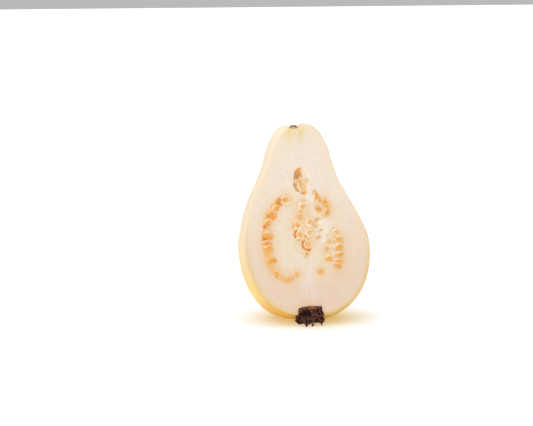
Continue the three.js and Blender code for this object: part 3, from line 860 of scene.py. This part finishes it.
def pulp_with_seeds(row_name):
    """A sheet as wide as its bands of pulp, given a thickness, with its seeds raised on its front."""
    bands = PULP_BANDS[row_name]
    stops = np.array([stop for _, band in bands for stop in band])
    low = (stops[:, :2] - stops[:, 2:] * 1.25).min(axis=0)
    size = (stops[:, :2] + stops[:, 2:] * 1.25).max(axis=0) - low
    columns, rows = (int(length / PULP_GRID) for length in size)
    bpy.ops.object.select_all(action="DESELECT")
    bpy.ops.mesh.primitive_grid_add(x_subdivisions=columns, y_subdivisions=rows, size=1)
    bed = bpy.context.object
    across, up = (low + size * (points_of(bed)[:, :2] + 0.5)).T
    sheet = np.stack([across, np.full(len(across), -CUT_AHEAD), up], axis=1)
    set_points(bed, sheet)
    delete_marked(bed, "VERT", nearest_band(sheet, bands) > PULP_REACH)
    modify(bed, "SOLIDIFY", thickness=PULP_BACK, offset=-1)
    face_outwards(bed)
    places = points_of(bed)
    reach = nearest_band(places, bands)
    front = places[:, 1] < -CUT_AHEAD + 0.1
    height, coat, shade = seeds_in(places, SEED_ROWS[row_name])
    deep = drawn_back(places)
    sunk = (0.15 * deep + 0.05 * wave(places, 1.5, 4) - height) * smoothstep(reach, 0.85, 0.6)
    places[:, 1] += front * (sunk - PULP_PROUD + 0.16 * smoothstep(reach, 0.92, 1.12))
    set_points(bed, places)
    within = smoothstep(reach, 1.0, 0.75)
    paint(bed, stain=stain_of(places), deep=deep, coat=within * coat * (1 - deep), shade=within * shade)
    return bed


def flat_seed():
    """The broad flat seed that leans in the chamber: a thin plate with a pale left edge."""
    bpy.ops.object.select_all(action="DESELECT")
    bpy.ops.mesh.primitive_cube_add(size=2)
    piece = bpy.context.object
    modify(piece, "SUBSURF", levels=1, render_levels=1)
    edit(piece)
    bpy.ops.mesh.subdivide(number_cuts=11)
    leave_edit()
    plate = points_of(piece)
    plate /= np.abs(plate).max()
    long, deep_in, wide = plate.T
    taper = np.clip(1.15 - long**6, 0.15, 1) ** 0.7 * (1 - 0.3 * long)
    x = long * FLAT_SEED["half_length"]
    z = wide * taper * FLAT_SEED["half_width"]
    lift = bell(wide + 0.85, 0.2) * (1 - long**4)
    y = deep_in * 0.4 + 0.5 * (1 + wide) - 0.25 * lift - 0.3 * (1 - long**2)
    c, s = math.cos(math.radians(FLAT_SEED["turn"])), math.sin(math.radians(FLAT_SEED["turn"]))
    across, up = FLAT_SEED["across"] + x * c + z * s, FLAT_SEED["up"] + x * s - z * c
    shape = np.stack([across, -CUT_AHEAD + 0.5 + y, up], axis=1)
    shape[:, 1] += 0.15 * wave(shape, 1.5, 5) + 0.08 * wave(shape, 0.6, 5)
    set_points(piece, shape)
    face_outwards(piece)
    patchy = wave(shape, 1.0, 5)
    spot = bell(np.hypot(wide - 0.9, long - 0.35), 0.22)
    paint(
        piece,
        coat=(0.75 + 0.4 * patchy) * bell(wide + 0.88, 0.28),
        shade=0.75 * bell(wide + 0.4, 0.2) * smoothstep(long, -0.6, 0.2) + 0.3 * patchy,
        deep=0.6 * smoothstep(-long + 0.2 * patchy, 0.82, 1.0) + 0.35 * spot,
        stain=0.65 - 0.3 * smoothstep(wide + 0.25 * patchy, -0.3, 0.8) + 0.4 * smoothstep(long, -0.5, -0.9),
    )
    return piece


for row_name in SEED_ROWS:
    parts = [pulp_with_seeds(row_name)]
    if row_name == "seeds_centre_column":
        parts.append(flat_seed())
    group = joined(parts, row_name.replace("seed", "pulp_and_seed", 1))
    bpy.ops.object.shade_smooth()
    group.data.materials.append(pulp_finish)
    group.data.transform(STANDING)
    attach(group, "root")
    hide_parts(row_name)

# ------------------------------------------------------------------------------------------------
# The dried calyx. At the blossom end the flower's sepals stay on as a short ragged crown, with
# the withered threads of the stamens inside it. The knife trimmed it flush with the cut face.

CROWN_RADIUS = 5.8
CROWN_TOP = 3.4
CROWN_REACH = 7.6  # how far out its tips come to
SEPAL_TRIM = -1.6  # the knife passed above this height, and the sepals spread ahead of it below
SEPAL_THICKNESS = 0.34
SEAT_RADIUS, SEAT_HALF_HEIGHT, SEAT_PLACE = RECESS_RADIUS - 0.25, 2.6, (0.1, 0, -1.4)
THREADS, THREAD_STEP = 110, 0.75
GROUND_CLEARANCE = 0.12
KNIFE_AHEAD = -CUT_AHEAD - CROWN_PLACE.y - 0.1  # from the crown's middle, as is the trim's height
TRIM_DOWN = SEPAL_TRIM - CROWN_PLACE.z


def crown_leaf_ring(radius, length, flare, tips, shift):
    """A ragged ring of dried sepals: a sheet wrapped round, frilled, torn and given a thickness."""
    bpy.ops.object.select_all(action="DESELECT")
    bpy.ops.mesh.primitive_grid_add(x_subdivisions=240, y_subdivisions=32, size=2)
    piece = bpy.context.object
    sheet = points_of(piece)
    turn = math.pi * (sheet[:, 0] + 1)
    down = (1 - sheet[:, 1]) / 2
    c, s = np.cos(turn), np.sin(turn)
    ring = np.stack([c, s, np.zeros(len(turn))], axis=1)
    uneven = wave(ring * 1.6, 1.0, shift)
    torn = wave(ring * 4.3, 1.0, shift + 5)
    frayed = wave(ring * 12, 1.0, shift + 11)
    lobes = np.abs(np.cos(tips * turn / 2 + 2.5 * uneven)) ** 0.6
    reach = length * (0.70 + 0.10 * lobes + 0.35 * uneven + 0.34 * torn + 0.16 * frayed)
    reach += 0.5 * bell(turn - 4.4, 0.5)
    crease = 1 - 2 * np.abs(wave(np.stack([c * 6.5, s * 6.5, down * 1.82], axis=1), 1.0, shift + 2))
    fine = wave(np.stack([c * 16, s * 16, down * 3], axis=1), 1.0, shift + 3)
    curl = 1.3 * wave(np.stack([c * 2.2, s * 2.2, down * 1.2], axis=1), 1.0, shift + 8)
    out = radius + flare * down**1.6 + 0.6 * (crease - 0.3) * (0.3 + down) + 0.3 * fine
    out += curl * down**1.5 + 0.9 * bell(turn - 4.2, 0.6) * down
    top = CROWN_TOP - CROWN_PLACE.z
    set_points(piece, np.stack([c * out, s * out, top - reach * down], axis=1))
    # painted highlight: the raised crests of the crinkles are lighter
    paint(piece, crest=0.5 + 0.5 * crease + 0.3 * fine, tip=down)
    edit(piece)
    bpy.ops.mesh.remove_doubles(threshold=0.01)
    leave_edit()
    face_outwards(piece)
    sheet = points_of(piece)
    ahead = KNIFE_AHEAD - 0.25 * wave(sheet, 0.9, shift)
    trim = TRIM_DOWN + 2.2 * wave(sheet, 1.8, shift + 30)
    tatters = wave(sheet * np.array([1, 1, 0.6]), 0.9, shift + 40) > 0.55 + 0.12 * (sheet[:, 2] - TRIM_DOWN)
    corners = np.array([leaf.vertices[0] for leaf in piece.data.polygons])
    middles = np.array([leaf.center for leaf in piece.data.polygons])
    trimmed = (middles[:, 1] < ahead[corners]) & (middles[:, 2] > trim[corners])
    delete_marked(piece, "FACE", trimmed | tatters[corners])
    modify(piece, "SOLIDIFY", thickness=SEPAL_THICKNESS, offset=0)
    return piece


luck = random.Random(7)


def thread(start, heading, radius, steps, curl):
    """One withered stamen: a tapering thread that wanders from its root."""
    place, way = Vector(start), Vector(heading).normalized()
    course = [place.copy()]
    for _ in range(steps):
        way = (way + Vector([luck.gauss(0, curl) for _ in range(3)])).normalized()
        place = place + way * THREAD_STEP
        course.append(place.copy())
    line = bpy.data.curves.new("thread", "CURVE")
    line.dimensions = "3D"
    line.bevel_depth = radius
    line.bevel_resolution = 1
    line.use_fill_caps = True
    spline = line.splines.new("POLY")
    spline.points.add(len(course) - 1)
    for index, (point, along) in enumerate(zip(spline.points, course)):
        point.co = (*along, 1)
        point.radius = 1 - 0.7 * index / len(course)
    piece = bpy.data.objects.new("thread", line)
    bpy.context.collection.objects.link(piece)
    return piece


tree, calyx_finish, shader = finish_of("dry_calyx")
place = in_fruit(tree)
across, _, up = spread(place)
fibre = cells(place, 0.5, 4.0, (1.0, 1.0, 0.25))
patch = cells(place, 2.2)
ochre = product(
    between(up, 2.9, 4.0), between(patch, 0.4, 0.58), between(across, -3.5, -0.5), between(across, 3.2, 1.4),
    between(fibre, 0.42, 0.56), 0.9,
)
brown = layered(
    mixed(between(fibre, 0.35, 0.65), srgb(28, 14, 12), srgb(72, 39, 31)),
    # painted highlight on raised crests, and painted shade in the seat's hollows
    (between(stored(tree, "crest"), 0.72, 1.0, 0, 0.9), srgb(150, 92, 74)),
    (between(patch, 0.6, 0.72, 0, 0.5), srgb(112, 62, 36)),
    (ochre, srgb(192, 132, 54)),
    (between(stored(tree, "tip"), 0.8, 1.0, 0, 0.4), srgb(104, 58, 48)),
)
feed(
    shader, Base_Color=brown, Roughness=between(fibre, 0.3, 0.7, 0.55, 0.85), Specular_IOR_Level=0.2,
    Normal=bumped(fibre, 1.0, 0.0005),
)

tree, thread_finish, shader = finish_of("dry_stamen_threads")
patch = cells(in_fruit(tree), 1.5)
pale = mixed(between(patch, 0.4, 0.6), srgb(92, 58, 52), srgb(150, 118, 116))
feed(shader, Base_Color=pale, Roughness=between(patch, 0.3, 0.7, 0.4, 0.7))

leaves = [
    crown_leaf_ring(CROWN_RADIUS - 0.4, length=9.2, flare=1.1, tips=11, shift=1.0),
    crown_leaf_ring(CROWN_RADIUS - 1.2, length=8.0, flare=0.9, tips=8, shift=21.0),
]
seat = egg((SEAT_RADIUS, SEAT_RADIUS, SEAT_HALF_HEIGHT), SEAT_PLACE, columns=80, rows=48)
squared(seat, SEAT_PLACE, SEAT_RADIUS, SEAT_HALF_HEIGHT)
slice_off(seat, (0, KNIFE_AHEAD + 0.5, 0), (0, -1, 0))
modify(seat, "REMESH", mode="VOXEL", voxel_size=0.2)
rough = points_of(seat)
across, ahead, up = rough.T
crumple, crinkle, grain = (1 - 2 * np.abs(wave(rough, *size)) for size in ((1.7, 2), (0.7, 7), (0.36, 9)))
forward = smoothstep(ahead, KNIFE_AHEAD + 1.2, KNIFE_AHEAD + 0.7)
ahead -= forward * (1.1 * crumple + 0.6 * crinkle + 0.35 * grain)
tear, other_tear = 0.8 * wave(rough, 1.6, 17), 0.8 * wave(rough, 1.6, 19)
hollow = bell(np.hypot(across + 2.4 + tear, up + 3.0 + other_tear), 2.2)
hollow = np.maximum(hollow, 0.7 * bell(np.hypot(across - 4.6 + other_tear, up + 1.7 + tear), 1.5))
ahead += forward * 2.6 * hollow
up += 0.45 * wave(rough, 3.0, 11) + 0.25 * crumple + 0.35 * crinkle + 0.15 * grain
across += 0.5 * wave(rough, 1.5, 13)
set_points(seat, rough)
# painted highlight on the raised crumples, and painted shade in the torn hollows
paint(seat, crest=0.35 + 0.3 * crumple + 0.3 * crinkle + 0.4 * grain - hollow, tip=0)
leaves.append(seat)
for leaf in leaves:
    leaf.data.materials.append(calyx_finish)
    only(leaf)
    bpy.ops.object.shade_smooth()

threads = []
for _ in range(THREADS):
    turn, out = luck.uniform(0, 2 * math.pi), luck.uniform(0.4, 4.7)
    start = (out * math.cos(turn), max(out * math.sin(turn), KNIFE_AHEAD + 0.3), -2.2)
    heading = (0.45 * math.cos(turn), 0.45 * math.sin(turn) - 0.25, -1)
    radius, steps = luck.uniform(0.12, 0.24), luck.randint(4, 8)
    threads.append(thread(start, heading, radius, steps, curl=0.4))
only(threads[0])
for piece in threads:
    piece.select_set(True)
bpy.ops.object.convert(target="MESH")
for number, piece in enumerate(threads):
    piece.data.materials.append(thread_finish if number % 4 == 0 else calyx_finish)
    paint(piece, crest=luck.random(), tip=luck.random())
crown = joined(leaves + threads, "dried_calyx_crown")

# The whole crown is crumpled, made shorter in places, and kept within its reach and off the floor.
places = points_of(crown)
across, ahead, up = places.T
for size, strength in ((2.2, 1.5), (0.8, 0.6), (0.4, 0.25)):
    sway = np.stack([wave(places, size, shift) for shift in (51, 57, 63)], axis=1)
    places += strength * sway * smoothstep(up, 1.0, -3.0)[:, None]
shorter = 0.85 * smoothstep(across, -3.0, -7) + 0.5 * bell(across - 2.8, 1.5)
shorter += 0.35 * smoothstep(across, 4.4, 6)
up -= shorter * np.minimum(0, up + 4.2)
places[:, :2] *= np.minimum(1, CROWN_REACH / np.hypot(across, ahead))[:, None]
ahead[:] = np.maximum(ahead, KNIFE_AHEAD + 0.5 * (ahead - KNIFE_AHEAD))
set_points(crown, places + np.array(CROWN_PLACE))
crown.data.transform(STANDING)
places = points_of(crown)
places[:, 2] = np.maximum(places[:, 2], GROUND_CLEARANCE * MM)
set_points(crown, places)
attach(crown, "root")
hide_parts("calyx_crown")

# ------------------------------------------------------------------------------------------------
# The stem scar. A small corky brown cap, cracked from its middle, in the dimple where the fruit
# broke from its stem, and cut through by the knife at the front.

SCAR_CRACKS = 8
CORK_CREASE = math.radians(50)  # edges sharper than this stay sharp

scar = egg((SCAR_RADIUS, SCAR_RADIUS, SCAR_HEIGHT), SCAR_PLACE, columns=72, rows=40)
cork = points_of(scar)
across, ahead, up = cork.T
from_middle = np.hypot(across - SCAR_PLACE.x, ahead - SCAR_PLACE.y) / SCAR_RADIUS
turn = np.arctan2(ahead - SCAR_PLACE.y, across - SCAR_PLACE.x)
top = smoothstep(up, SCAR_PLACE.z, SCAR_PLACE.z + 0.6)
up += top * (0.15 * bell(from_middle - 0.6, 0.15) - 0.15 * bell(from_middle, 0.3))
up += top * (0.22 * wave(cork, 0.6, 5) - 0.35 * from_middle**2)
up -= top * 0.25 * np.abs(np.sin(SCAR_CRACKS / 2 * turn)) ** 8 * from_middle
up += SCAR_ROOT_SHRINK * np.maximum(0, SCAR_PLACE.z - up)
set_points(scar, cork)
slice_off(scar, (0, -CUT_AHEAD, 0), (0, -1, 0))
scar.name = "corky_stem_scar"
only(scar)
bpy.ops.object.shade_smooth_by_angle(angle=CORK_CREASE)

tree, cork_finish, shader = finish_of("dry_cork")
place = in_fruit(tree)
grit = cells(place, 0.35, 3.0)
root = between(spread(place)[2], SCAR_PLACE.z + 0.5, SCAR_PLACE.z - 0.2)
tan = mixed(between(grit, 0.38, 0.62), srgb(112, 56, 42), srgb(206, 160, 138))
tan = mixed(root, tan, srgb(228, 210, 130))
feed(shader, Base_Color=tan, Roughness=between(grit, 0.3, 0.7, 0.7, 0.9), Normal=bumped(grit, 0.7, 0.0002))
scar.data.materials.append(cork_finish)
scar.data.transform(STANDING)
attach(scar, "root")
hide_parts("stem_scar")

# ------------------------------------------------------------------------------------------------
# The studio: a white floor with a painted warm shadow round the fruit, which also glows faintly to
# light the fruit from below, soft light from the upper left and all round, and the camera.

POOL_MIDDLE, POOL_RADIUS = (0.0035, 0, 0), 0.05  # the painted shadow on the floor round the fruit, a warm glow that only the camera sees
POOL_STOPS = [  # share of that radius, and the colour there, up to white at the edge
    (0, (0.56, 0.34, 0.06)), (0.22, (0.61, 0.39, 0.10)), (0.4, (0.66, 0.52, 0.30)),
    (0.55, (0.71, 0.65, 0.54)), (0.75, (0.76, 0.75, 0.73)),
]

# The floor's warm shadow round the fruit is painted: an emission ramp that the camera sees.
bpy.ops.object.select_all(action="DESELECT")
bpy.ops.mesh.primitive_plane_add(size=8)
floor = bpy.context.object
floor.name = "studio_floor"
tree, floor_finish, shader = finish_of("studio_white")
seen = add(tree, "LightPath").outputs["Is Camera Ray"]
away = from_point(add(tree, "TexCoord").outputs["Object"], POOL_MIDDLE)
share_out = add(tree, "MapRange", Value=away, From_Min=0, From_Max=POOL_RADIUS).outputs["Result"]
pool = add(tree, "ValToRGB", Fac=share_out)
pool.color_ramp.interpolation = "B_SPLINE"
pool.color_ramp.elements[0].color = (*POOL_STOPS[0][1], 1)
for step, shade_there in POOL_STOPS[1:]:
    pool.color_ramp.elements.new(step).color = (*shade_there, 1)
# painted shadow and painted light: the camera sees a dim floor with the warm shadow glowing on it, and other
# rays see a white floor whose faint warm glow lights the fruit from below
feed(
    shader, Base_Color=mixed(seen, (0.9, 0.9, 0.9, 1), (0.25, 0.25, 0.25, 1)), Roughness=0.9,
    Emission_Color=mixed(seen, (0.30, 0.25, 0.15, 1), pool.outputs["Color"]), Emission_Strength=1.0,
)
floor.data.materials.append(floor_finish)

world = bpy.data.worlds.new("studio_air")
world.use_nodes = True
feed(world.node_tree.nodes["Background"], Color=(1, 1, 1, 1), Strength=0.49)
bpy.context.scene.world = world


LIT_MIDDLE = Vector((0, 0, 0.045))


def softbox(name, place, size, power):
    """A round soft light, turned to the middle of the fruit."""
    light = bpy.data.objects.new(name, bpy.data.lights.new(name, "AREA"))
    light.data.shape = "DISK"
    light.data.size = size
    light.data.energy = power
    light.location = place
    light.rotation_euler = (LIT_MIDDLE - light.location).to_track_quat("-Z", "Y").to_euler()
    bpy.context.collection.objects.link(light)


softbox("key_light", (-0.6, -1.0, 0.9), size=0.8, power=4.2)
softbox("overhead_light", (-0.15, 0.2, 1.3), size=1.4, power=11.0)

CAMERA_PLACE = Vector((-0.25148, -0.93683, 0.18837))
CAMERA_VIEW = Vector((0.2396, 0.9609, -0.1392))
camera = bpy.data.objects.new("camera", bpy.data.cameras.new("camera"))
bpy.context.collection.objects.link(camera)
camera.data.lens = 135
camera.location = CAMERA_PLACE
camera.rotation_euler = CAMERA_VIEW.to_track_quat("-Z", "Y").to_euler()
bpy.context.scene.camera = camera
bpy.context.scene.view_settings.view_transform = "Standard"
